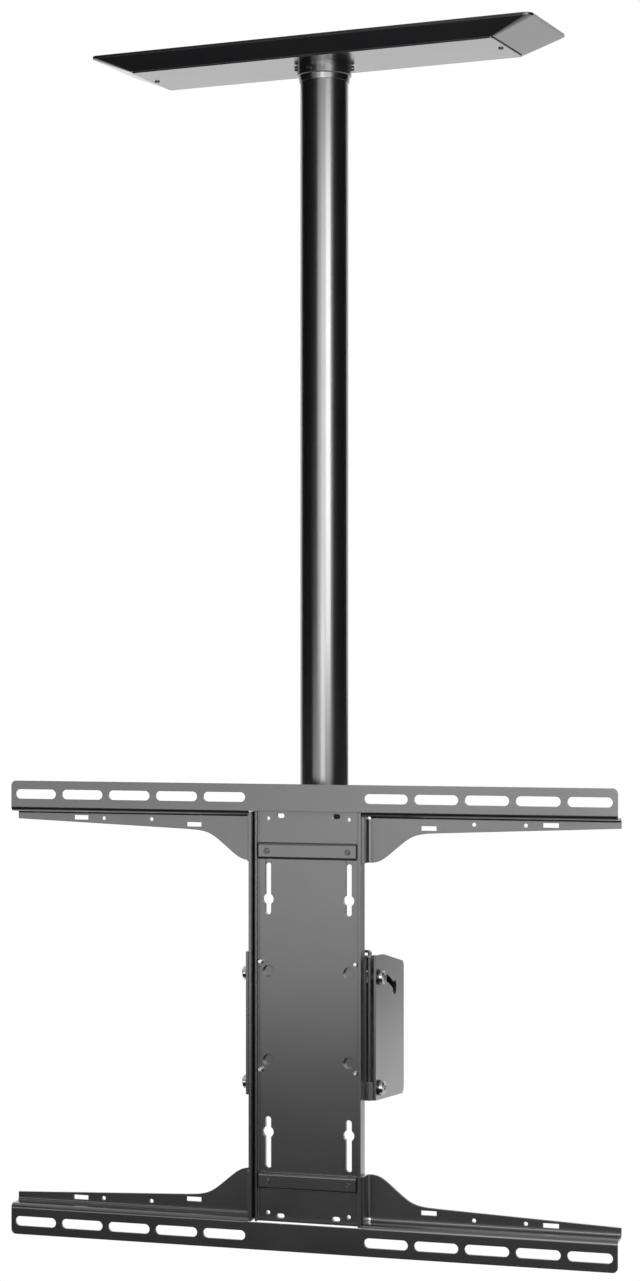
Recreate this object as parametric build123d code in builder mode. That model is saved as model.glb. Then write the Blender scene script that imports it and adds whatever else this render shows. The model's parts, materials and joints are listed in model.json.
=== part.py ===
from build123d import *
from math import cos, radians, sin
import os

os.makedirs("parts", exist_ok=True)

# Millimetres. The origin is the centre of the ceiling plate's top face, +Z is up and the display faces -Y.

# Fits
running_gap = 0.08
bush_gap = 0.12
seat_gap = 0.3
thread_gap = 0.05
hole_gap = 0.25
cut_over = 5.0

# Ceiling side, turned a little from the head
ceiling_turn = -6.7
plate_length = 386.0
plate_width = 78.0
plate_t = 4.0
plate_corner = 8.0
anchor_r = 4.5
anchor_outer_pcd = 320.0
anchor_inner_pcd = 150.0
cover_rim_length = 472.3
cover_rim_width = 108.0
cover_flat_length = 391.0
cover_flat_width = 91.4
cover_depth = 18.0
cover_t = 1.5
cover_lip = 2.6
cover_corner = 3.0
cover_rim_corner = 8.0
panel_length = 388.0
panel_width = 88.4
panel_t = 1.3
cover_screw_inset = 7.0
cover_screw_reach = panel_length / 2 - cover_screw_inset
cover_screw_r = 1.5
cover_screw_head_r = 2.6
cover_screw_head_h = 1.0
post_r = 4.5
pan_recess_w = 0.9
pan_recess_h = 0.6
pan_chamfer = 0.35

# Collar and column
column_r = 24.15
column_wall = 2.6
column_top = plate_t + 1.0
column_end = 800.0
collar_r = 27.25
collar_end = 31.0
collar_lip_end = 37.0
collar_lip_r = 26.2
collar_lip_tip_r = 24.9
collar_chamfer = 0.6
collar_screw_depth = 22.6
collar_screw_r = 2.0
collar_screw_head_r = 2.9
collar_screw_head_h = 2.6
collar_screw_taper = 12.0
side_screw_angle = 16.0
lock_screw_angle = -108.0
lock_screw_depth = 26.5
lock_screw_r = 3.0
lock_screw_proud = 2.2
lock_socket_r = 1.7
groove_depth = 1.2
neck_r = 19.0
neck_wall = 3.0
neck_top = 762.0
bush_flange_t = 2.0
bush_top = 770.0
neck_bolt_depth = 784.0
neck_bolt_r = 4.0
neck_washer_r = 8.0
neck_washer_t = 1.6

# Head layout: heights are from the middle of the head, depths from its front plane
front_reach = 68.0
middle_z = -963.0
row_height = 215.0
rail_edge = 13.3
rail_corner = 5.0
rail_t = 2.2
rail_bend = 2.5
slot_length = 43.7
slot_width = 9.6
slot_pitch = 50.0
slot_first = 82.55
slots_per_arm = 5
rail_margin = 4.6
rail_half_length = slot_first + slot_pitch * (slots_per_arm - 1) + slot_length / 2 + rail_margin
gusset_depth = 18.7
gusset_root = 63.0
gusset_shoulder = (79.0, 56.2)
gusset_hollow = (99.5, 39.8)
gusset_waist = (128.0, 33.3)
gusset_tip = 25.7
window_length = 15.5
window_width = 4.5
window_near = (120.5, 28.7)
window_far = (241.0, 23.7)
pin_hole_r = 2.0
pin_holes = ((165.5, 24.2), (216.5, 24.2))
relief_r = 1.5
relief_land = 0.6
tab_front = 3.0
web_reach = 57.5
web_drop = 17.4

# Channels of the head
outer_half = 57.2
outer_t = 2.3
outer_depth = 17.7
outer_bend = 1.2
channel_half_height = 201.0
inner_half_height = 202.4
inner_half = 53.6
inner_t = 2.0
inner_front = 8.4
face_depth = 13.4
inner_bend = 0.5
bore_x = 41.3
keyhole_r = 5.6
keyhole_slot_w = 6.0
keyhole_height = 114.55
keyhole_end = 99.25
keyhole_outer_top = 150.2
port_r = 5.5
port_height = 43.85
small_hole_r = 2.0
small_hole_height = 193.8
oval_x = 28.5
oval_length = 8.0
oval_width = 4.5
oval_height = 196.6
corner_screw_x = 48.7
corner_screw_height = 53.1
corner_screw_r = 1.5
corner_screw_head_r = 2.4
corner_screw_head_h = 4.5
corner_screw_chamfer = 0.7

# Clamp bars on the face
bar_half_length = 49.8
bar_width = 16.3
bar_depth = 5.0
bar_t = 1.6
bar_bend = 0.9
bar_height = 162.25
bar_screw_r = 2.0
bar_screw_head_r = 2.9
bar_screw_head_h = 1.2

# Tilting bracket and its slotted side plates
bracket_half = 64.5
bracket_t = 2.3
bracket_bend = 2.0
bracket_ear_depth = 26.0
bracket_top = 61.5
bracket_bottom = -80.0
bracket_lug_top = 59.2
bracket_lug_bottom = -62.0
bracket_window_x = 57.4
side_plate_t = 2.3
side_front = 20.5
side_rear = 125.0
side_knee = (49.0, 60.0)
side_rear_top = 45.6
side_rear_bottom = -88.0
side_corner = 7.0
pivot_depth = 32.0
pivot_height = -68.9
swing_radius = 108.0
swing_screw_r = 3.2
swing_slot_w = 7.0
tilt_travel = 32.5
slot_lead = 1.5
hook_drop = 0.5
hook_lift = 1.8
hook_w = 12.5

# Fixed box under the neck
box_t = 2.5
box_half = 60.6
box_bend = 3.0
box_top = 66.2
box_front = 22.5
box_rear = 98.0
box_lip_rear = 28.0
box_back = 122.0
box_saddle_half = 30.0
box_wall_top_front = 58.5
box_wall_top_rear = 44.0
box_wall_low = -80.0
box_back_top = 48.2
box_window = ((42.0, 42.5), (70.0, 41.0), (114.0, 38.0), (114.0, 6.0), (42.0, 6.0))
box_window_corner = 3.0
washer_r = 7.6
washer_t = 1.5
head_r = 6.8
head_h = 4.2
head_socket_r = 2.9
head_socket_depth = 2.6
head_chamfer = 1.2
nut_r = 6.2
nut_h = 5.5
spacer_r = 5.5
thread_proud = 2.0
small_nut_r = 4.0
small_nut_h = 3.2
small_thread_proud = 1.0
tiny_nut_r = 3.1
tiny_nut_h = 2.4

# Derived values
hole_r_cover = cover_screw_r + hole_gap
panel_z = cover_depth + panel_t
column_bore = column_r - column_wall
groove_w = 2 * (collar_screw_r + seat_gap)
swing_height = pivot_height + swing_radius
web_height = web_drop
gusset_bend_x = outer_half + rail_t + rail_bend
keyhole_top = bar_height
neck_end = -middle_z - box_top
bracket_back = outer_depth + bracket_t
side_in = bracket_half
side_out = bracket_half + side_plate_t
box_foot_r = pivot_depth - box_front
side_rest_angle = 90.0


# Level plane of the ceiling side, turned with the ceiling plate.
def deck_plane(depth):
    turn = radians(ceiling_turn)
    return Plane(origin=(0, 0, -depth), x_dir=(cos(turn), sin(turn), 0), z_dir=(0, 0, 1))


# Upright plane of the head at a depth behind its front plane, with X right and height up.
def face_plane(depth):
    return Plane(origin=(0, depth - front_reach, middle_z), x_dir=(1, 0, 0), z_dir=(0, -1, 0))


# Upright plane of the head across X, with depth and height as its axes.
def side_plane(x):
    return Plane(origin=(x, -front_reach, middle_z), x_dir=(0, 1, 0), z_dir=(1, 0, 0))


# Level plane of the head, with X and depth as its axes.
def level_plane(height):
    return Plane(origin=(0, -front_reach, middle_z + height), x_dir=(1, 0, 0), z_dir=(0, 0, 1))


# Plane that faces outwards from the column's axis at an angle about it.
def radial_plane(angle, reach, depth):
    turn = radians(angle)
    outward = (cos(turn), sin(turn), 0)
    return Plane(
        origin=(outward[0] * reach, outward[1] * reach, -depth), x_dir=(-outward[1], outward[0], 0), z_dir=outward
    )


# Ceiling plate
with BuildPart() as ceiling_plate:
    with BuildSketch(deck_plane(plate_t)):
        RectangleRounded(plate_length, plate_width, plate_corner)
        with PolarLocations(anchor_outer_pcd / 2, 2):
            Circle(anchor_r, mode=Mode.SUBTRACT)
        with PolarLocations(anchor_inner_pcd / 2, 2):
            Circle(anchor_r, mode=Mode.SUBTRACT)
    extrude(amount=plate_t)

# Threaded posts that the cover is screwed to
with BuildPart() as cover_posts:
    with BuildSketch(deck_plane(cover_depth - cover_t)):
        with PolarLocations(cover_screw_reach, 2):
            RegularPolygon(post_r, 6)
            Circle(cover_screw_r + thread_gap, mode=Mode.SUBTRACT)
    extrude(amount=cover_depth - cover_t - plate_t)

# Cover shell, a sheet tray with sloped sides
side_run = (cover_rim_width - cover_flat_width) / 2
end_run = (cover_rim_length - cover_flat_length) / 2
slope_depth = cover_depth - cover_lip
side_skin = cover_t * (side_run**2 + slope_depth**2) ** 0.5 / slope_depth
end_skin = cover_t * (end_run**2 + slope_depth**2) ** 0.5 / slope_depth
floor_scale = cover_t / slope_depth
with BuildPart() as cover_shell:
    with BuildSketch(deck_plane(cover_lip)):
        RectangleRounded(cover_rim_length, cover_rim_width, cover_rim_corner)
    with BuildSketch(deck_plane(cover_depth)):
        RectangleRounded(cover_flat_length, cover_flat_width, cover_corner)
    loft()
    with BuildSketch(deck_plane(cover_lip)):
        RectangleRounded(cover_rim_length, cover_rim_width, cover_rim_corner)
    extrude(amount=cover_lip)
    with BuildSketch(deck_plane(cover_lip)):
        RectangleRounded(
            cover_rim_length - 2 * end_skin, cover_rim_width - 2 * side_skin, cover_rim_corner - cover_t
        )
    extrude(amount=cover_lip, mode=Mode.SUBTRACT)
    with BuildSketch(deck_plane(cover_lip)):
        RectangleRounded(
            cover_rim_length - 2 * end_skin, cover_rim_width - 2 * side_skin, cover_rim_corner - cover_t
        )
    with BuildSketch(deck_plane(cover_depth - cover_t)):
        RectangleRounded(
            cover_flat_length + 2 * (end_run * floor_scale - end_skin),
            cover_flat_width + 2 * (side_run * floor_scale - side_skin),
            cover_t,
        )
    loft(mode=Mode.SUBTRACT)
    with BuildSketch(deck_plane(panel_z)):
        Circle(collar_r + seat_gap)
        with PolarLocations(cover_screw_reach, 2):
            Circle(hole_r_cover)
    extrude(amount=cover_depth, mode=Mode.SUBTRACT)

# Cover panel, standing a little proud
with BuildPart() as cover_panel:
    with BuildSketch(deck_plane(panel_z)):
        RectangleRounded(panel_length, panel_width, cover_corner)
        Circle(collar_r + seat_gap, mode=Mode.SUBTRACT)
        with PolarLocations(cover_screw_reach, 2):
            Circle(hole_r_cover, mode=Mode.SUBTRACT)
    extrude(amount=panel_t)

# Cover screws
with BuildPart() as cover_screws:
    with BuildSketch(deck_plane(panel_z + cover_screw_head_h)):
        with PolarLocations(cover_screw_reach, 2):
            Circle(cover_screw_head_r)
    extrude(amount=cover_screw_head_h)
    chamfer(cover_screws.edges().group_by(Axis.Z)[0], pan_chamfer)
    with BuildSketch(deck_plane(panel_z)):
        with PolarLocations(cover_screw_reach, 2):
            Circle(cover_screw_r)
    extrude(amount=panel_z - plate_t - cover_screw_head_h)
    with BuildSketch(deck_plane(panel_z + cover_screw_head_h)):
        with PolarLocations(cover_screw_reach, 2):
            Rectangle(cover_screw_head_r, pan_recess_w)
            Rectangle(pan_recess_w, cover_screw_head_r)
    extrude(amount=pan_recess_h, mode=Mode.SUBTRACT)

# Collar that holds the column under the plate
with BuildPart() as column_collar:
    with BuildSketch(Plane.XZ):
        with BuildLine():
            Polyline(
                (column_r + running_gap, -plate_t),
                (collar_r, -plate_t),
                (collar_r, -collar_end),
                (collar_lip_r, -collar_end),
                (collar_lip_tip_r, -collar_lip_end),
                (column_r + running_gap, -collar_lip_end),
                close=True,
            )
        make_face()
    revolve(axis=Axis.Z)
    rim_edges = column_collar.edges().filter_by(GeomType.CIRCLE).group_by(SortBy.RADIUS)[-1]
    chamfer(rim_edges.sort_by(Axis.Z)[0], collar_chamfer)
    with BuildSketch(
        radial_plane(side_screw_angle, 0, collar_screw_depth),
        radial_plane(side_screw_angle + 180, 0, collar_screw_depth),
    ):
        Circle(collar_screw_r + thread_gap)
    extrude(amount=collar_r + cut_over, mode=Mode.SUBTRACT)
    with BuildSketch(radial_plane(lock_screw_angle, 0, lock_screw_depth)):
        Circle(lock_screw_r + thread_gap)
    extrude(amount=collar_r + cut_over, mode=Mode.SUBTRACT)

# Screws whose tips ride in the column's groove and carry it
screw_tip_reach = column_r - groove_depth + seat_gap
with BuildPart() as collar_side_screws:
    with BuildSketch(
        radial_plane(side_screw_angle, screw_tip_reach, collar_screw_depth),
        radial_plane(side_screw_angle + 180, screw_tip_reach, collar_screw_depth),
    ):
        Circle(collar_screw_r)
    extrude(amount=collar_r - screw_tip_reach)
    with BuildSketch(
        radial_plane(side_screw_angle, collar_r, collar_screw_depth),
        radial_plane(side_screw_angle + 180, collar_r, collar_screw_depth),
    ):
        Circle(collar_screw_head_r)
    extrude(amount=collar_screw_head_h, taper=collar_screw_taper)

# Lock screw that clamps the swivel
with BuildPart() as collar_lock_screw:
    with BuildSketch(radial_plane(lock_screw_angle, column_r + seat_gap, lock_screw_depth)):
        Circle(lock_screw_r)
    extrude(amount=collar_r + lock_screw_proud - column_r - seat_gap)
    with BuildSketch(radial_plane(lock_screw_angle, collar_r + lock_screw_proud, lock_screw_depth)):
        RegularPolygon(lock_socket_r, 6)
    extrude(amount=-lock_screw_proud, mode=Mode.SUBTRACT)

# Column
with BuildPart() as column_tube:
    with BuildSketch(Plane.XY.offset(-column_end)):
        Circle(column_r)
        Circle(column_bore, mode=Mode.SUBTRACT)
    extrude(amount=column_end - column_top)
    with BuildSketch(Plane.XY.offset(-collar_screw_depth - groove_w / 2)):
        Circle(column_r + running_gap)
        Circle(column_r - groove_depth, mode=Mode.SUBTRACT)
    extrude(amount=groove_w, mode=Mode.SUBTRACT)
    with BuildSketch(Plane.YZ.offset(-column_r - cut_over)):
        with Locations((0, -neck_bolt_depth)):
            Circle(neck_bolt_r + hole_gap)
    extrude(amount=2 * (column_r + cut_over), mode=Mode.SUBTRACT)

# Bushing between column and neck
with BuildPart() as neck_bushing:
    with BuildSketch(Plane.XY.offset(-column_end)):
        Circle(column_bore - bush_gap)
        Circle(neck_r + bush_gap, mode=Mode.SUBTRACT)
    extrude(amount=column_end - bush_top)
    with BuildSketch(Plane.XY.offset(-column_end - bush_flange_t)):
        Circle(column_r)
        Circle(neck_r + bush_gap, mode=Mode.SUBTRACT)
    extrude(amount=bush_flange_t)
    with BuildSketch(Plane.YZ.offset(-column_r - cut_over)):
        with Locations((0, -neck_bolt_depth)):
            Circle(neck_bolt_r + hole_gap)
    extrude(amount=2 * (column_r + cut_over), mode=Mode.SUBTRACT)

# Neck tube down to the box
with BuildPart() as neck_tube:
    with BuildSketch(Plane.XY.offset(-neck_end)):
        Circle(neck_r)
        Circle(neck_r - neck_wall, mode=Mode.SUBTRACT)
    extrude(amount=neck_end - neck_top)
    with BuildSketch(Plane.YZ.offset(-column_r - cut_over)):
        with Locations((0, -neck_bolt_depth)):
            Circle(neck_bolt_r + hole_gap)
    extrude(amount=2 * (column_r + cut_over), mode=Mode.SUBTRACT)

# Cross bolt through column and neck, with its washers and nut
neck_stack = column_r + neck_washer_t
with BuildPart() as neck_bolt_washers:
    with BuildSketch(Plane.YZ.offset(column_r)):
        with Locations((0, -neck_bolt_depth)):
            Circle(neck_washer_r)
            Circle(neck_bolt_r + thread_gap, mode=Mode.SUBTRACT)
    extrude(amount=neck_washer_t)
    mirror(about=Plane.YZ)

with BuildPart() as neck_bolt:
    with BuildSketch(Plane.YZ.offset(-neck_stack)):
        with Locations((0, -neck_bolt_depth)):
            Circle(neck_bolt_r)
    extrude(amount=2 * neck_stack + nut_h + thread_proud)
    with BuildSketch(Plane.YZ.offset(-neck_stack)):
        with Locations((0, -neck_bolt_depth)):
            RegularPolygon(nut_r, 6)
    extrude(amount=-head_h)

with BuildPart() as neck_bolt_nut:
    with BuildSketch(Plane.YZ.offset(neck_stack)):
        with Locations((0, -neck_bolt_depth)):
            RegularPolygon(nut_r, 6)
            Circle(neck_bolt_r + thread_gap, mode=Mode.SUBTRACT)
    extrude(amount=nut_h)

# Fixed box: saddle, side walls with the pivot and swing screws, and a back wall
with BuildPart() as column_box:
    with BuildSketch(face_plane(box_front)):
        with BuildLine():
            FilletPolyline(
                (-box_half, pivot_height - box_foot_r),
                (-box_half, box_top),
                (box_half, box_top),
                (box_half, pivot_height - box_foot_r),
                radius=box_bend,
            )
            offset(amount=box_t, side=Side.RIGHT)
        make_face()
    extrude(amount=box_front - box_back)
    with BuildSketch(side_plane(-box_saddle_half)):
        with Locations(((box_rear + box_back) / 2 + cut_over, box_top)):
            Rectangle(box_back - box_rear + 2 * cut_over, 2 * cut_over)
    extrude(amount=2 * box_saddle_half, mode=Mode.SUBTRACT)
    with BuildSketch(side_plane(box_saddle_half), side_plane(-box_half - cut_over)):
        with BuildLine():
            Polyline(
                (box_lip_rear, box_top + cut_over),
                (box_lip_rear, box_wall_top_front),
                (box_back + cut_over, box_wall_top_rear),
                (box_back + cut_over, box_top + cut_over),
                close=True,
            )
        make_face()
    extrude(amount=box_half + cut_over - box_saddle_half, mode=Mode.SUBTRACT)
    with BuildSketch(side_plane(-box_half - cut_over)):
        with BuildLine():
            foot = CenterArc((pivot_depth, pivot_height), box_foot_r, 180, 90)
            Polyline(
                foot @ 1,
                (box_back + cut_over, box_wall_low),
                (box_back + cut_over, pivot_height - box_foot_r - cut_over),
                (box_front - cut_over, pivot_height - box_foot_r - cut_over),
                (box_front - cut_over, pivot_height),
                foot @ 0,
            )
        make_face()
    extrude(amount=2 * (box_half + cut_over), mode=Mode.SUBTRACT)
    with BuildSketch(face_plane(box_back - box_t)):
        with Locations((0, (box_back_top + box_wall_low) / 2)):
            Rectangle(2 * box_half, box_back_top - box_wall_low)
    extrude(amount=-box_t)
    with BuildSketch(side_plane(-box_half - cut_over)) as box_windows:
        with BuildLine():
            Polyline(*box_window, close=True)
        make_face()
        fillet(box_windows.vertices(), box_window_corner)
    extrude(amount=2 * (box_half + cut_over), mode=Mode.SUBTRACT)
    with BuildSketch(side_plane(-box_half - cut_over)):
        with Locations((pivot_depth, pivot_height), (pivot_depth, swing_height)):
            Circle(swing_screw_r + thread_gap)
    extrude(amount=2 * (box_half + cut_over), mode=Mode.SUBTRACT)

# Spacers between box and side plates
with BuildPart() as wall_spacers:
    with BuildSketch(side_plane(box_half)):
        with Locations((pivot_depth, pivot_height), (pivot_depth, swing_height)):
            Circle(spacer_r)
            Circle(swing_screw_r + thread_gap, mode=Mode.SUBTRACT)
    extrude(amount=side_in - box_half - seat_gap)
    mirror(about=Plane.YZ)

# Outer washers under the screw heads
with BuildPart() as screw_washers:
    with BuildSketch(side_plane(side_out + seat_gap)):
        with Locations((pivot_depth, pivot_height), (pivot_depth, swing_height)):
            Circle(washer_r)
            Circle(swing_screw_r + thread_gap, mode=Mode.SUBTRACT)
    extrude(amount=washer_t)
    mirror(about=Plane.YZ)

# Pivot and swing screws
head_seat = side_out + seat_gap + washer_t
screw_tip = box_half - box_t - nut_h - thread_proud
with BuildPart() as pivot_screws:
    with BuildSketch(side_plane(screw_tip)):
        with Locations((pivot_depth, pivot_height)):
            Circle(swing_screw_r)
    extrude(amount=head_seat - screw_tip)
    with BuildSketch(side_plane(head_seat)):
        with Locations((pivot_depth, pivot_height)):
            Circle(head_r)
    extrude(amount=head_h)
    chamfer(pivot_screws.edges().group_by(Axis.X)[-1], head_chamfer)
    with BuildSketch(side_plane(head_seat + head_h)):
        with Locations((pivot_depth, pivot_height)):
            RegularPolygon(head_socket_r, 6)
    extrude(amount=-head_socket_depth, mode=Mode.SUBTRACT)
    mirror(about=Plane.YZ)

with BuildPart() as swing_screws:
    with BuildSketch(side_plane(screw_tip)):
        with Locations((pivot_depth, swing_height)):
            Circle(swing_screw_r)
    extrude(amount=head_seat - screw_tip)
    with BuildSketch(side_plane(head_seat)):
        with Locations((pivot_depth, swing_height)):
            Circle(head_r)
    extrude(amount=head_h)
    chamfer(swing_screws.edges().group_by(Axis.X)[-1], head_chamfer)
    with BuildSketch(side_plane(head_seat + head_h)):
        with Locations((pivot_depth, swing_height)):
            RegularPolygon(head_socket_r, 6)
    extrude(amount=-head_socket_depth, mode=Mode.SUBTRACT)
    mirror(about=Plane.YZ)

# Nuts inside the box
with BuildPart() as box_nuts:
    with BuildSketch(side_plane(box_half - box_t - nut_h)):
        with Locations((pivot_depth, pivot_height), (pivot_depth, swing_height)):
            RegularPolygon(nut_r, 6)
            Circle(swing_screw_r + thread_gap, mode=Mode.SUBTRACT)
    extrude(amount=nut_h)
    mirror(about=Plane.YZ)

# Tilting bracket behind the channels
with BuildPart() as tilt_bracket:
    with BuildSketch(level_plane(bracket_bottom)):
        with BuildLine():
            FilletPolyline(
                (-bracket_half, bracket_ear_depth),
                (-bracket_half, outer_depth),
                (bracket_half, outer_depth),
                (bracket_half, bracket_ear_depth),
                radius=bracket_bend + bracket_t,
            )
            offset(amount=bracket_t, side=Side.LEFT)
        make_face()
    extrude(amount=bracket_top - bracket_bottom)
    with BuildSketch(face_plane(0)):
        with Locations(
            (corner_screw_x, corner_screw_height),
            (-corner_screw_x, corner_screw_height),
            (corner_screw_x, -corner_screw_height),
            (-corner_screw_x, -corner_screw_height),
        ):
            Circle(corner_screw_r + thread_gap)
    extrude(amount=-bracket_back - cut_over, mode=Mode.SUBTRACT)
    with BuildSketch(side_plane(bracket_window_x), side_plane(-bracket_half - cut_over)):
        with Locations(((bracket_back + bracket_ear_depth) / 2, (bracket_lug_top + bracket_lug_bottom) / 2)):
            Rectangle(bracket_ear_depth, bracket_lug_top - bracket_lug_bottom)
    extrude(amount=bracket_half + cut_over - bracket_window_x, mode=Mode.SUBTRACT)

# Side plates with their hooked arc slots
with BuildPart() as tilt_side_plate_right:
    with BuildSketch(side_plane(side_in)) as side_outline:
        with BuildLine():
            Polyline(
                (side_front, bracket_top),
                side_knee,
                (side_rear, side_rear_top),
                (side_rear, side_rear_bottom),
                (side_front, bracket_bottom),
                close=True,
            )
        make_face()
        fillet(side_outline.vertices().group_by(Axis.X)[-1], side_corner)
        with BuildLine(mode=Mode.PRIVATE):
            swing_arc = CenterArc(
                (pivot_depth, pivot_height),
                swing_radius,
                side_rest_angle + slot_lead,
                -slot_lead - tilt_travel,
            )
            hook_line = Line(swing_arc @ 1 + Vector(0, hook_lift), swing_arc @ 1 - Vector(0, hook_drop))
        SlotArc(swing_arc, swing_slot_w, mode=Mode.SUBTRACT)
        SlotArc(hook_line, hook_w, mode=Mode.SUBTRACT)
        with Locations((pivot_depth, pivot_height)):
            Circle(swing_screw_r + running_gap, mode=Mode.SUBTRACT)
    extrude(amount=side_plate_t)

with BuildPart() as tilt_side_plate_left:
    mirror(tilt_side_plate_right.part, about=Plane.YZ)

# Outer channel, open to the front
bore_sites = ((bore_x, port_height), (-bore_x, port_height), (bore_x, -port_height), (-bore_x, -port_height))
keyhole_sites = (
    (bore_x, keyhole_height),
    (-bore_x, keyhole_height),
    (bore_x, -keyhole_height),
    (-bore_x, -keyhole_height),
)
keyhole_slot_length = keyhole_top - keyhole_end + keyhole_slot_w / 2
keyhole_slot_mid = keyhole_top - keyhole_slot_length / 2 + keyhole_slot_w / 2
keyhole_slots = (
    (bore_x, keyhole_slot_mid),
    (-bore_x, keyhole_slot_mid),
    (bore_x, -keyhole_slot_mid),
    (-bore_x, -keyhole_slot_mid),
)
short_slot_length = keyhole_outer_top - keyhole_end
short_slot_mid = (keyhole_outer_top + keyhole_end) / 2
short_slots = (
    (bore_x, short_slot_mid),
    (-bore_x, short_slot_mid),
    (bore_x, -short_slot_mid),
    (-bore_x, -short_slot_mid),
)
corner_sites = (
    (corner_screw_x, corner_screw_height),
    (-corner_screw_x, corner_screw_height),
    (corner_screw_x, -corner_screw_height),
    (-corner_screw_x, -corner_screw_height),
)
bar_sites = ((bore_x, bar_height), (-bore_x, bar_height), (bore_x, -bar_height), (-bore_x, -bar_height))
small_sites = (
    (bore_x, small_hole_height),
    (-bore_x, small_hole_height),
    (bore_x, -small_hole_height),
    (-bore_x, -small_hole_height),
)
oval_sites = (
    (oval_x, oval_height),
    (-oval_x, oval_height),
    (oval_x, -oval_height),
    (-oval_x, -oval_height),
)

with BuildPart() as outer_channel:
    with BuildSketch(level_plane(-channel_half_height)):
        with BuildLine():
            FilletPolyline(
                (-outer_half, 0),
                (-outer_half, outer_depth),
                (outer_half, outer_depth),
                (outer_half, 0),
                radius=outer_bend + outer_t,
            )
            offset(amount=outer_t, side=Side.RIGHT)
        make_face()
    extrude(amount=2 * channel_half_height)
    with BuildSketch(face_plane(inner_front)):
        with Locations(*bore_sites):
            Circle(port_r)
        with Locations(*keyhole_sites):
            Circle(keyhole_r)
        with Locations(*short_slots):
            SlotOverall(short_slot_length, keyhole_slot_w, rotation=90)
        with Locations(*bar_sites):
            Circle(bar_screw_r + thread_gap)
        with Locations(*corner_sites):
            Circle(corner_screw_r + thread_gap)
        with Locations(*small_sites):
            Circle(small_hole_r)
        with Locations(*oval_sites):
            SlotOverall(oval_length, oval_width)
    extrude(amount=inner_front - outer_depth - cut_over, mode=Mode.SUBTRACT)

# Inner channel, whose web is the head's face
with BuildPart() as inner_channel:
    with BuildSketch(level_plane(-inner_half_height)):
        with BuildLine():
            FilletPolyline(
                (-inner_half, inner_front),
                (-inner_half, face_depth + inner_t),
                (inner_half, face_depth + inner_t),
                (inner_half, inner_front),
                radius=inner_bend + inner_t,
            )
            offset(amount=inner_t, side=Side.RIGHT)
        make_face()
    extrude(amount=2 * inner_half_height)
    with BuildSketch(face_plane(inner_front)):
        with Locations(*bore_sites):
            Circle(port_r)
        with Locations(*keyhole_sites):
            Circle(keyhole_r)
        with Locations(*keyhole_slots):
            SlotOverall(keyhole_slot_length, keyhole_slot_w, rotation=90)
        with Locations(*corner_sites):
            Circle(corner_screw_r + thread_gap)
        with Locations(*small_sites):
            Circle(small_hole_r)
        with Locations(*oval_sites):
            SlotOverall(oval_length, oval_width)
    extrude(amount=inner_front - outer_depth - cut_over, mode=Mode.SUBTRACT)

# Clamp bars, shallow C sections on the face
bar_front = face_depth - bar_depth
with BuildPart() as clamp_bar_upper:
    with BuildSketch(side_plane(-bar_half_length)):
        with BuildLine():
            FilletPolyline(
                (face_depth, bar_height + bar_width / 2),
                (bar_front, bar_height + bar_width / 2),
                (bar_front, bar_height - bar_width / 2),
                (face_depth, bar_height - bar_width / 2),
                radius=bar_bend + bar_t,
            )
            offset(amount=bar_t, side=Side.LEFT)
        make_face()
    extrude(amount=2 * bar_half_length)
    with BuildSketch(face_plane(0)):
        with Locations((bore_x, bar_height), (-bore_x, bar_height)):
            Circle(bar_screw_r + thread_gap)
    extrude(amount=-face_depth, mode=Mode.SUBTRACT)

with BuildPart() as clamp_bar_lower:
    mirror(clamp_bar_upper.part, about=Plane.XY.offset(middle_z))

# Clamp bar screws and nuts
with BuildPart() as clamp_bar_screws:
    with BuildSketch(face_plane(bar_front - bar_screw_head_h)):
        with Locations(*bar_sites):
            Circle(bar_screw_head_r)
    extrude(amount=-bar_screw_head_h)
    chamfer(clamp_bar_screws.edges().group_by(Axis.Y)[0], pan_chamfer)
    with BuildSketch(face_plane(bar_front)):
        with Locations(*bar_sites):
            Circle(bar_screw_r)
    extrude(amount=bar_front - outer_depth - small_nut_h - small_thread_proud)
    with BuildSketch(face_plane(bar_front - bar_screw_head_h)):
        with Locations(*bar_sites):
            Rectangle(bar_screw_head_r, pan_recess_w)
            Rectangle(pan_recess_w, bar_screw_head_r)
    extrude(amount=-pan_recess_h, mode=Mode.SUBTRACT)

with BuildPart() as clamp_bar_nuts:
    with BuildSketch(face_plane(outer_depth)):
        with Locations(*bar_sites):
            RegularPolygon(small_nut_r, 6)
            Circle(bar_screw_r + thread_gap, mode=Mode.SUBTRACT)
    extrude(amount=-small_nut_h)

# Corner screws and nuts that hold the channels to the bracket
with BuildPart() as corner_screws:
    with BuildSketch(face_plane(face_depth - corner_screw_head_h)):
        with Locations(*corner_sites):
            Circle(corner_screw_head_r)
    extrude(amount=-corner_screw_head_h)
    chamfer(corner_screws.edges().group_by(Axis.Y)[0], corner_screw_chamfer)
    with BuildSketch(face_plane(face_depth)):
        with Locations(*corner_sites):
            Circle(corner_screw_r)
    extrude(amount=face_depth - bracket_back - tiny_nut_h - small_thread_proud)

with BuildPart() as corner_nuts:
    with BuildSketch(face_plane(bracket_back)):
        with Locations(*corner_sites):
            RegularPolygon(tiny_nut_r, 6)
            Circle(corner_screw_r + thread_gap, mode=Mode.SUBTRACT)
    extrude(amount=-tiny_nut_h)

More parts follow.
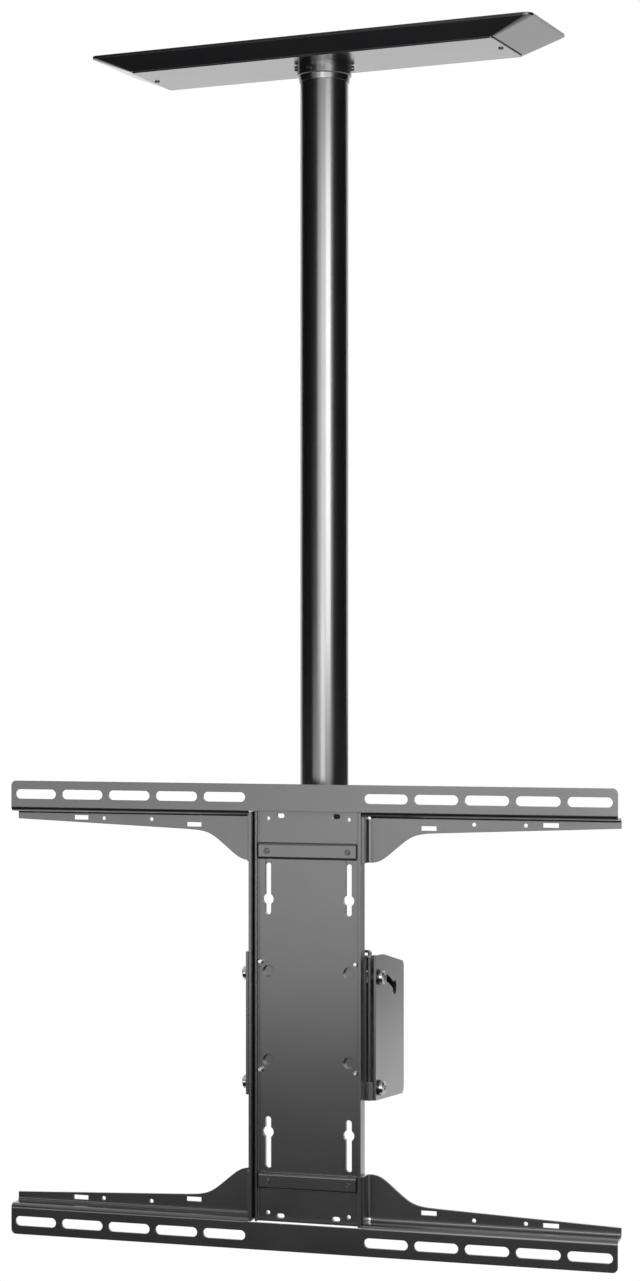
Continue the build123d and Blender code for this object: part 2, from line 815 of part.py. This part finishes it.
# Upper crossbar: one folded sheet of rail, web, gusset and side tabs
slot_sites = [(slot_first + slot_pitch * step, row_height) for step in range(slots_per_arm)]
with BuildPart() as crossbar_upper:
    with BuildSketch(side_plane(gusset_bend_x)):
        with BuildLine():
            FilletPolyline(
                (0, row_height + rail_edge),
                (0, row_height - web_height),
                (gusset_depth, row_height - web_height),
                (gusset_depth, row_height - gusset_root),
                radius=(rail_bend + rail_t, rail_bend),
            )
            offset(amount=rail_t, side=Side.LEFT)
        make_face()
    extrude(amount=rail_half_length - gusset_bend_x)
    with BuildSketch(side_plane(web_reach)):
        with BuildLine():
            FilletPolyline(
                (0, row_height + rail_edge),
                (0, row_height - web_height),
                (gusset_depth - rail_bend, row_height - web_height),
                radius=rail_bend + rail_t,
            )
            offset(amount=rail_t, side=Side.LEFT)
        make_face()
    extrude(amount=gusset_bend_x - web_reach)
    with BuildSketch(face_plane(gusset_depth - rail_bend)) as gusset_cut:
        with BuildLine():
            root = (gusset_bend_x, row_height - gusset_root)
            waist = (gusset_waist[0], row_height - gusset_waist[1])
            tip = (rail_half_length, row_height - gusset_tip)
            Spline(
                root,
                (gusset_shoulder[0], row_height - gusset_shoulder[1]),
                (gusset_hollow[0], row_height - gusset_hollow[1]),
                waist,
                tangents=((1, 0), (tip[0] - waist[0], tip[1] - waist[1])),
            )
            Polyline(
                waist,
                tip,
                (rail_half_length + cut_over, tip[1]),
                (rail_half_length + cut_over, root[1] - cut_over),
                (gusset_bend_x - cut_over, root[1] - cut_over),
                (gusset_bend_x - cut_over, root[1]),
                root,
            )
        make_face()
    extrude(amount=-rail_bend - rail_t - cut_over, mode=Mode.SUBTRACT)
    with BuildSketch(level_plane(row_height - gusset_root)):
        with BuildLine():
            FilletPolyline(
                (gusset_bend_x + rail_bend, gusset_depth),
                (outer_half + rail_t, gusset_depth),
                (outer_half + rail_t, tab_front),
                radius=rail_bend,
            )
            offset(amount=rail_t, side=Side.RIGHT)
        make_face()
    extrude(amount=gusset_root - web_height)
    with BuildSketch(face_plane(0)):
        with Locations((gusset_bend_x / 2, row_height)):
            Rectangle(gusset_bend_x, 2 * rail_edge)
    extrude(amount=-rail_t)
    with BuildSketch(face_plane(gusset_depth - rail_bend - rail_t)):
        with Locations((gusset_bend_x - rail_t / 2, row_height - web_height - relief_r - relief_land)):
            Circle(relief_r)
        with Locations(
            (window_near[0], row_height - window_near[1]),
            (window_far[0], row_height - window_far[1]),
        ):
            Rectangle(window_length, window_width)
        with Locations(*[(x, row_height - drop) for x, drop in pin_holes]):
            Circle(pin_hole_r)
    extrude(amount=-rail_bend - 2 * rail_t - cut_over, mode=Mode.SUBTRACT)
    with BuildSketch(face_plane(0)):
        with Locations(*slot_sites):
            SlotOverall(slot_length, slot_width)
    extrude(amount=-rail_t, mode=Mode.SUBTRACT)
    mirror(about=Plane.YZ)
    end_edges = crossbar_upper.edges().filter_by(Axis.Y)
    fillet(end_edges.group_by(Axis.Z)[-1], rail_corner)

with BuildPart() as crossbar_lower:
    mirror(crossbar_upper.part, about=Plane.XY.offset(middle_z))

# Export
pieces = {
    "ceiling_plate": ceiling_plate,
    "cover_posts": cover_posts,
    "cover_shell": cover_shell,
    "cover_panel": cover_panel,
    "cover_screws": cover_screws,
    "column_collar": column_collar,
    "collar_side_screws": collar_side_screws,
    "collar_lock_screw": collar_lock_screw,
    "column_tube": column_tube,
    "neck_bushing": neck_bushing,
    "neck_tube": neck_tube,
    "neck_bolt": neck_bolt,
    "neck_bolt_washers": neck_bolt_washers,
    "neck_bolt_nut": neck_bolt_nut,
    "column_box": column_box,
    "wall_spacers": wall_spacers,
    "screw_washers": screw_washers,
    "pivot_screws": pivot_screws,
    "swing_screws": swing_screws,
    "box_nuts": box_nuts,
    "tilt_bracket": tilt_bracket,
    "tilt_side_plate_right": tilt_side_plate_right,
    "tilt_side_plate_left": tilt_side_plate_left,
    "outer_channel": outer_channel,
    "inner_channel": inner_channel,
    "clamp_bar_upper": clamp_bar_upper,
    "clamp_bar_lower": clamp_bar_lower,
    "clamp_bar_screws": clamp_bar_screws,
    "clamp_bar_nuts": clamp_bar_nuts,
    "corner_screws": corner_screws,
    "corner_nuts": corner_nuts,
    "crossbar_upper": crossbar_upper,
    "crossbar_lower": crossbar_lower,
}
for label, piece in pieces.items():
    piece.part.label = label
    export_step(piece.part, f"parts/{label}.step")
    box = piece.part.bounding_box()
    print(label, len(piece.part.solids()), round(piece.part.volume), box.min, box.max)
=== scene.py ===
# TV ceiling mount: finishes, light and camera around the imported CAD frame.
# Metres, +Z up, the display side of the head faces -Y.
import json
import math

import bpy
from mathutils import Matrix, Vector

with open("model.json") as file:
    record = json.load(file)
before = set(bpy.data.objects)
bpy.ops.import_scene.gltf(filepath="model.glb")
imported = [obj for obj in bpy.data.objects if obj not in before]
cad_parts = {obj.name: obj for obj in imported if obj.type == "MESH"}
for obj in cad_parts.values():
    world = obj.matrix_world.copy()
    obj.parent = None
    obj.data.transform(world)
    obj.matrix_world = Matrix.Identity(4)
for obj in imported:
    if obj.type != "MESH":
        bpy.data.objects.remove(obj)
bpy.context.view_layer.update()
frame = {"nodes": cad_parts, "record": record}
nodes = frame["nodes"]
print("frame: %d CAD nodes loaded" % len(nodes))

# Small helpers


def linearColour(hexText):
    # sRGB hex to the linear RGBA that the sockets take
    channels = [int(hexText[i : i + 2], 16) / 255 for i in (1, 3, 5)]
    linear = [c / 12.92 if c <= 0.04045 else ((c + 0.055) / 1.055) ** 2.4 for c in channels]
    return linear + [1.0]


def perMetre(millimetres):
    # a texture scale whose pattern repeats about every so many millimetres
    return 1000.0 / millimetres


def addNode(tree, kind, values=None, links=None, **settings):
    # adds one shader node, sets its properties and socket values, and links its inputs
    node = tree.nodes.new(kind)
    for name, value in settings.items():
        setattr(node, name, value)
    for socket, value in (values or {}).items():
        node.inputs[socket].default_value = value
    for socket, source in (links or {}).items():
        tree.links.new(source, node.inputs[socket])
    return node


def newMaterial(name):
    material = bpy.data.materials.new(name)
    material.use_nodes = True
    material.node_tree.nodes.clear()
    return material, material.node_tree


# Finishes

satinCoat = {
    "deep": "#0a0a0c",  # black pigment where the film is thick
    "light": "#151518",  # the same pigment where the film is thin
    "edge": "#333437",  # paler on edges and bends: a painted highlight
    "roughness": (0.28, 0.33),  # of the base, least and most
    "coatRoughness": (0.17, 0.21),  # of the outer skin, least and most
    "ior": 1.55,
    "coatIor": 1.6,
    "peelMm": 1.8,  # width of one orange-peel cell
    "peelDetail": 1.0,
    "peelRoughness": 0.4,
    "peelHeightMm": 0.008,
    "peelStrength": 0.5,
    "speckMm": 0.9,  # a clump of fused powder
    "speckDetail": 2.0,
    "speckRange": (0.3, 0.7),  # noise that counts as thick and as thin film
    "cloudMm": 60.0,  # slow drift of the gloss over a piece
    "cloudDetail": 3.0,
    "cloudRange": (0.2, 0.8),  # noise that gives the least and the most roughness
    "edgeMm": 0.6,  # radius of the rounded edges
    "edgeSamples": 6,
    "edgeHighlightRange": (0.995, 0.80),  # how well the normals agree where the painted edge highlight starts and is full
    "edgeHighlightShare": 0.8,  # how much of the paler edge colour, the painted highlight, shows at most
}


def satinPowderCoat(name, options):
    # Epoxy-polyester powder coat, sprayed and baked: a deep satin black whose smooth outer skin
    # mirrors the softboxes over a duller base, with faint orange peel and a painted highlight of
    # paler colour on the edges of the folded sheet.
    material, tree = newMaterial(name)
    place = addNode(tree, "ShaderNodeTexCoord")
    cloud = addNode(
        tree,
        "ShaderNodeTexNoise",
        {"Scale": perMetre(options["cloudMm"]), "Detail": options["cloudDetail"]},
        {"Vector": place.outputs["Object"]},
    )
    speck = addNode(
        tree,
        "ShaderNodeTexNoise",
        {"Scale": perMetre(options["speckMm"]), "Detail": options["speckDetail"]},
        {"Vector": place.outputs["Object"]},
    )
    peel = addNode(
        tree,
        "ShaderNodeTexNoise",
        {
            "Scale": perMetre(options["peelMm"]),
            "Detail": options["peelDetail"],
            "Roughness": options["peelRoughness"],
        },
        {"Vector": place.outputs["Object"]},
    )
    film = addNode(
        tree,
        "ShaderNodeMapRange",
        {"From Min": options["speckRange"][0], "From Max": options["speckRange"][1]},
        {"Value": speck.outputs["Fac"]},
    )
    pigment = addNode(
        tree,
        "ShaderNodeMix",
        {6: linearColour(options["deep"]), 7: linearColour(options["light"])},
        {0: film.outputs["Result"]},
        data_type="RGBA",
    )
    # where the rounded normal leaves the true one there is an edge, which gets a painted highlight
    rounded = addNode(
        tree,
        "ShaderNodeBevel",
        {"Radius": options["edgeMm"] / 1000},
        samples=options["edgeSamples"],
    )
    surface = addNode(tree, "ShaderNodeNewGeometry")
    agree = addNode(
        tree,
        "ShaderNodeVectorMath",
        links={0: rounded.outputs["Normal"], 1: surface.outputs["Normal"]},
        operation="DOT_PRODUCT",
    )
    highlitEdge = addNode(
        tree,
        "ShaderNodeMapRange",
        {
            "From Min": options["edgeHighlightRange"][0],
            "From Max": options["edgeHighlightRange"][1],
            "To Max": options["edgeHighlightShare"],
        },
        {"Value": agree.outputs["Value"]},
    )
    # painted highlight: the edges are mixed towards the paler edge colour
    colour = addNode(
        tree,
        "ShaderNodeMix",
        {7: linearColour(options["edge"])},
        {0: highlitEdge.outputs["Result"], 6: pigment.outputs[2]},
        data_type="RGBA",
    )
    gloss, skinGloss = [
        addNode(
            tree,
            "ShaderNodeMapRange",
            {
                "From Min": options["cloudRange"][0],
                "From Max": options["cloudRange"][1],
                "To Min": least,
                "To Max": most,
            },
            {"Value": cloud.outputs["Fac"]},
        )
        for least, most in (options["roughness"], options["coatRoughness"])
    ]
    skin = addNode(
        tree,
        "ShaderNodeBump",
        {"Strength": options["peelStrength"], "Distance": options["peelHeightMm"] / 1000},
        {"Height": peel.outputs["Fac"], "Normal": rounded.outputs["Normal"]},
    )
    shader = addNode(
        tree,
        "ShaderNodeBsdfPrincipled",
        {"IOR": options["ior"], "Coat Weight": 1.0, "Coat IOR": options["coatIor"]},
        {
            "Base Color": colour.outputs[2],
            "Roughness": gloss.outputs["Result"],
            "Coat Roughness": skinGloss.outputs["Result"],
            "Normal": skin.outputs["Normal"],
            "Coat Normal": skin.outputs["Normal"],
        },
    )
    addNode(tree, "ShaderNodeOutputMaterial", links={"Surface": shader.outputs["BSDF"]})
    return material


formedSteel = {
    # what both platings share
    "bloomDetail": 4.0,
    "bloomRange": (0.3, 0.7),  # noise that gives the most and the least roughness
    "markDetail": 2.0,
    "markStrength": 0.4,
    "edgeMm": 0.25,  # radius of the rounded edges
    "edgeSamples": 4,
}

zincPlate = {
    **formedSteel,
    "bright": "#c9cbcd",
    "dull": "#97999b",
    "roughness": (0.16, 0.30),
    "bloomMm": 2.5,  # a patch of dull bloom
    "markMm": 0.45,  # a mark of the heading tool
    "markHeightMm": 0.02,
}

oxideSteel = {
    **formedSteel,
    "bright": "#66666a",
    "dull": "#2c2c2f",
    "roughness": (0.26, 0.40),
    "bloomMm": 3.0,  # a patch where the oil lies thicker
    "markMm": 0.5,  # a mark of the heading tool
    "markHeightMm": 0.015,
}


def platedSteel(name, options):
    # Cold-formed steel under a thin plating. As bright zinc it is a bluish silver that blooms
    # dull in patches; as black oxide it is an oily near-black that still glints like metal on
    # its rims. Both keep the fine marks of the heading tool, drawn a little coarser than real
    # ones so that they show.
    material, tree = newMaterial(name)
    place = addNode(tree, "ShaderNodeTexCoord")
    bloom = addNode(
        tree,
        "ShaderNodeTexNoise",
        {"Scale": perMetre(options["bloomMm"]), "Detail": options["bloomDetail"]},
        {"Vector": place.outputs["Object"]},
    )
    marks = addNode(
        tree,
        "ShaderNodeTexNoise",
        {"Scale": perMetre(options["markMm"]), "Detail": options["markDetail"]},
        {"Vector": place.outputs["Object"]},
    )
    colour = addNode(
        tree,
        "ShaderNodeMix",
        {6: linearColour(options["dull"]), 7: linearColour(options["bright"])},
        {0: bloom.outputs["Fac"]},
        data_type="RGBA",
    )
    gloss = addNode(
        tree,
        "ShaderNodeMapRange",
        {
            "From Min": options["bloomRange"][0],
            "From Max": options["bloomRange"][1],
            "To Min": options["roughness"][1],
            "To Max": options["roughness"][0],
        },
        {"Value": bloom.outputs["Fac"]},
    )
    rounded = addNode(
        tree,
        "ShaderNodeBevel",
        {"Radius": options["edgeMm"] / 1000},
        samples=options["edgeSamples"],
    )
    skin = addNode(
        tree,
        "ShaderNodeBump",
        {"Strength": options["markStrength"], "Distance": options["markHeightMm"] / 1000},
        {"Height": marks.outputs["Fac"], "Normal": rounded.outputs["Normal"]},
    )
    shader = addNode(
        tree,
        "ShaderNodeBsdfPrincipled",
        {"Metallic": 1.0},
        {
            "Base Color": colour.outputs[2],
            "Roughness": gloss.outputs["Result"],
            "Normal": skin.outputs["Normal"],
        },
    )
    addNode(tree, "ShaderNodeOutputMaterial", links={"Surface": shader.outputs["BSDF"]})
    return material


mouldedNylon = {
    "deep": "#18181a",
    "light": "#242426",
    "roughness": (0.48, 0.62),
    "ior": 1.53,
    "grainMm": 0.8,  # one grain of the spark-eroded mould
    "grainDetail": 3.0,
    "grainHeightMm": 0.03,
    "grainStrength": 0.5,
}


def blackNylon(name, options):
    # Injection-moulded nylon 6: matt black with a fine spark-eroded grain and no metallic glint.
    material, tree = newMaterial(name)
    place = addNode(tree, "ShaderNodeTexCoord")
    grain = addNode(
        tree,
        "ShaderNodeTexNoise",
        {"Scale": perMetre(options["grainMm"]), "Detail": options["grainDetail"]},
        {"Vector": place.outputs["Object"]},
    )
    colour = addNode(
        tree,
        "ShaderNodeMix",
        {6: linearColour(options["deep"]), 7: linearColour(options["light"])},
        {0: grain.outputs["Fac"]},
        data_type="RGBA",
    )
    gloss = addNode(
        tree,
        "ShaderNodeMapRange",
        {"To Min": options["roughness"][0], "To Max": options["roughness"][1]},
        {"Value": grain.outputs["Fac"]},
    )
    skin = addNode(
        tree,
        "ShaderNodeBump",
        {"Strength": options["grainStrength"], "Distance": options["grainHeightMm"] / 1000},
        {"Height": grain.outputs["Fac"]},
    )
    shader = addNode(
        tree,
        "ShaderNodeBsdfPrincipled",
        {"IOR": options["ior"]},
        {
            "Base Color": colour.outputs[2],
            "Roughness": gloss.outputs["Result"],
            "Normal": skin.outputs["Normal"],
        },
    )
    addNode(tree, "ShaderNodeOutputMaterial", links={"Surface": shader.outputs["BSDF"]})
    return material


finishOfSlot = {
    "black_powder_coat": satinPowderCoat("satinPowderCoat", satinCoat),
    "zinc_plated_steel": platedSteel("brightZincPlate", zincPlate),
    "black_oxide_steel": platedSteel("blackOxideSteel", oxideSteel),
    "black_nylon": blackNylon("blackMouldedNylon", mouldedNylon),
}
for part in frame["record"]["subparts"]:
    piece = nodes[part["node"]]
    finish = finishOfSlot[part["material_slot"]]
    for slot in piece.material_slots:
        slot.material = finish
    if not piece.material_slots:
        piece.data.materials.append(finish)
print("finishes: %d materials on %d nodes" % (len(finishOfSlot), len(nodes)))

# Studio

studio = {
    "floorZ": -2.9,
    "floorSize": 60.0,
    "floor": "#f4f4f3",
    "nearShare": 0.85,  # how much of the floor below is plain white; the rest shows the shadow
    "nearReach": 1.6,  # metres from the centre up to which that holds
    "farReach": 3.4,  # and from which the floor is all plain white
    "worldForLight": 0.25,  # the white world's strength as a light; seen directly it is 1
    "flagCloth": "#0a0a0a",
}

flags = {
    # name: the three corners that span each dark flag
    # at the left, for the dark band on that side of the column
    "leftFlag": ((-1.6, -2.0, -0.9), (-1.6, 0.8, -0.9), (-1.6, -2.0, 1.2)),
    "upperLeftFlag": ((-1.6, -2.7, -0.45), (-1.6, -2.0, -0.45), (-1.6, -2.7, 1.2)),
    "cornerFlag": ((-2.7, -2.9, -2.0), (-2.7, -1.9, -2.0), (-2.7, -2.9, -0.9)),
    # at the right and behind, for the band on the other side and for the side plate
    "rightFlag": ((2.3, -1.4, -1.05), (2.3, 3.4, -1.05), (2.3, -1.4, 1.2)),
    "rearFlag": ((2.3, 3.0, -2.0), (2.3, 8.4, -2.0), (2.3, 3.0, -0.75)),
    # in front, the last two for the darker lower part of the head
    "frontLeftFlag": ((-3.2, -3.1, -0.82), (-0.83, -3.1, -0.82), (-3.2, -3.1, 1.2)),
    "lowFlag": ((-3.2, -3.2, -1.95), (2.4, -3.2, -1.95), (-3.2, -0.3, -1.95)),
    "frontFlag": ((-3.2, -3.2, -1.95), (2.4, -3.2, -1.95), (-3.2, -3.2, -1.34)),
}

lamps = {
    # name: place, aim, width, height, watts
    # the broad highlight down the column, brighter towards its right
    "frontSoftbox": ((0.17, -2.95, -0.11), (0.17, 0.0, -0.11), 1.96, 1.16, 22.8),
    "innerSoftbox": ((0.625, -2.94, -0.11), (0.625, 0.0, -0.11), 1.05, 1.16, 11.5),
    # the face and the upper rail
    "lowSoftbox": ((-1.46, -2.96, -1.0), (-1.46, 0.0, -1.0), 2.08, 0.78, 9.0),
    # the column's lower end
    "columnSoftbox": ((0.475, -2.97, -0.88), (0.475, 0.0, -0.88), 1.15, 0.75, 14.0),
    # the bright line at the highlight's right
    "rightSoftbox": ((1.79, -2.57, -0.05), (0.0, 0.0, -0.05), 1.32, 1.15, 59.0),
}


def seenDirectly(tree):
    # one for rays from the camera and in reflections and glass, zero for light on things
    path = addNode(tree, "ShaderNodeLightPath")
    mirrored = addNode(
        tree,
        "ShaderNodeMath",
        links={0: path.outputs["Is Camera Ray"], 1: path.outputs["Is Glossy Ray"]},
        operation="MAXIMUM",
    )
    either = addNode(
        tree,
        "ShaderNodeMath",
        links={0: mirrored.outputs["Value"], 1: path.outputs["Is Transmission Ray"]},
        operation="MAXIMUM",
    )
    return either.outputs["Value"]


def addPlane(name, corner, along, across, material):
    # a parallelogram from one corner and the two next to it
    mesh = bpy.data.meshes.new(name)
    start, one, other = Vector(corner), Vector(along), Vector(across)
    mesh.from_pydata([start, one, one + other - start, other], [], [(0, 1, 2, 3)])
    mesh.materials.append(material)
    plane = bpy.data.objects.new(name, mesh)
    bpy.context.scene.collection.objects.link(plane)
    return plane


def buildWorld(options):
    world = bpy.data.worlds.new("studioWorld")
    bpy.context.scene.world = world
    world.use_nodes = True
    tree = world.node_tree
    tree.nodes.clear()
    level = addNode(
        tree,
        "ShaderNodeMapRange",
        {"To Min": options["worldForLight"], "To Max": 1.0},
        {"Value": seenDirectly(tree)},
    )
    sky = addNode(
        tree,
        "ShaderNodeBackground",
        {"Color": (1, 1, 1, 1)},
        {"Strength": level.outputs["Result"]},
    )
    addNode(tree, "ShaderNodeOutputWorld", links={"Surface": sky.outputs["Background"]})


def buildFloor(options):
    # White painted floor: matt paint that shows the shadow below the object and runs into the
    # white backdrop further out
    material, tree = newMaterial("paleStudioFloor")
    paint = addNode(tree, "ShaderNodeBsdfDiffuse", {"Color": linearColour(options["floor"])})
    glow = addNode(tree, "ShaderNodeEmission", {"Color": (1, 1, 1, 1), "Strength": 1.0})
    place = addNode(tree, "ShaderNodeTexCoord")
    away = addNode(
        tree,
        "ShaderNodeVectorMath",
        links={0: place.outputs["Object"]},
        operation="LENGTH",
    )
    own = addNode(
        tree,
        "ShaderNodeMapRange",
        {
            "From Min": options["nearReach"],
            "From Max": options["farReach"],
            "To Min": options["nearShare"],
            "To Max": 1.0,
        },
        {"Value": away.outputs["Value"]},
    )
    share = addNode(
        tree,
        "ShaderNodeMath",
        links={0: seenDirectly(tree), 1: own.outputs["Result"]},
        operation="MULTIPLY",
    )
    blend = addNode(
        tree,
        "ShaderNodeMixShader",
        links={
            0: share.outputs["Value"],
            1: paint.outputs["BSDF"],
            2: glow.outputs["Emission"],
        },
    )
    addNode(tree, "ShaderNodeOutputMaterial", links={"Surface": blend.outputs["Shader"]})
    half = options["floorSize"] / 2
    floor = addPlane("studioFloor", (-half, -half, 0), (half, -half, 0), (-half, half, 0), material)
    floor.location.z = options["floorZ"]


def buildFlags(corners, clothHex):
    # Black cloth: swallows reflections at the sides and low in front and is never seen itself
    material, tree = newMaterial("blackFlagCloth")
    cloth = addNode(tree, "ShaderNodeBsdfDiffuse", {"Color": linearColour(clothHex)})
    addNode(tree, "ShaderNodeOutputMaterial", links={"Surface": cloth.outputs["BSDF"]})
    for name, values in corners.items():
        flag = addPlane(name, *values, material)
        flag.visible_camera = False


def addLamp(name, place, aim, width, height, watts):
    data = bpy.data.lights.new(name, "AREA")
    data.shape = "RECTANGLE"
    data.size, data.size_y = width, height
    data.energy = watts
    lamp = bpy.data.objects.new(name, data)
    lamp.location = place
    lamp.rotation_euler = (Vector(aim) - Vector(place)).to_track_quat("-Z", "Y").to_euler()
    lamp.visible_camera = False
    bpy.context.scene.collection.objects.link(lamp)


buildWorld(studio)
buildFloor(studio)
buildFlags(flags, studio["flagCloth"])
for name, values in lamps.items():
    addLamp(name, *values)
print("studio: world, floor, %d flags and %d softboxes" % (len(flags), len(lamps)))

# Camera

lens = {
    "azimuthDeg": 16.871,
    "place": (0.77832, -2.58143, -0.62055),
    "focalPx": 2699.2,
    "horizonPx": 667.3,  # height of the horizon in the photo, from its top
    "imagePx": (640, 1281),
    "sensorMm": 36.0,
    "clipEnd": 100.0,
}


def buildCamera(options):
    # a level camera: where the horizon lies in the photo sets the vertical shift
    data = bpy.data.cameras.new("photoCamera")
    longSide = max(options["imagePx"])
    data.sensor_fit = "AUTO"
    data.sensor_width = options["sensorMm"]
    data.lens = options["focalPx"] / longSide * options["sensorMm"]
    data.shift_y = (options["horizonPx"] - options["imagePx"][1] / 2) / longSide
    data.clip_end = options["clipEnd"]
    camera = bpy.data.objects.new("photoCamera", data)
    turn = math.radians(options["azimuthDeg"])
    forward = Vector((-math.sin(turn), math.cos(turn), 0))
    right = Vector((math.cos(turn), math.sin(turn), 0))
    up = Vector((0, 0, 1))
    rotation = Matrix((right, up, -forward)).transposed()
    camera.matrix_world = Matrix.Translation(Vector(options["place"])) @ rotation.to_4x4()
    bpy.context.scene.collection.objects.link(camera)
    bpy.context.scene.camera = camera


buildCamera(lens)
bpy.context.scene.view_settings.view_transform = "Standard"
print("camera: set from the photograph")
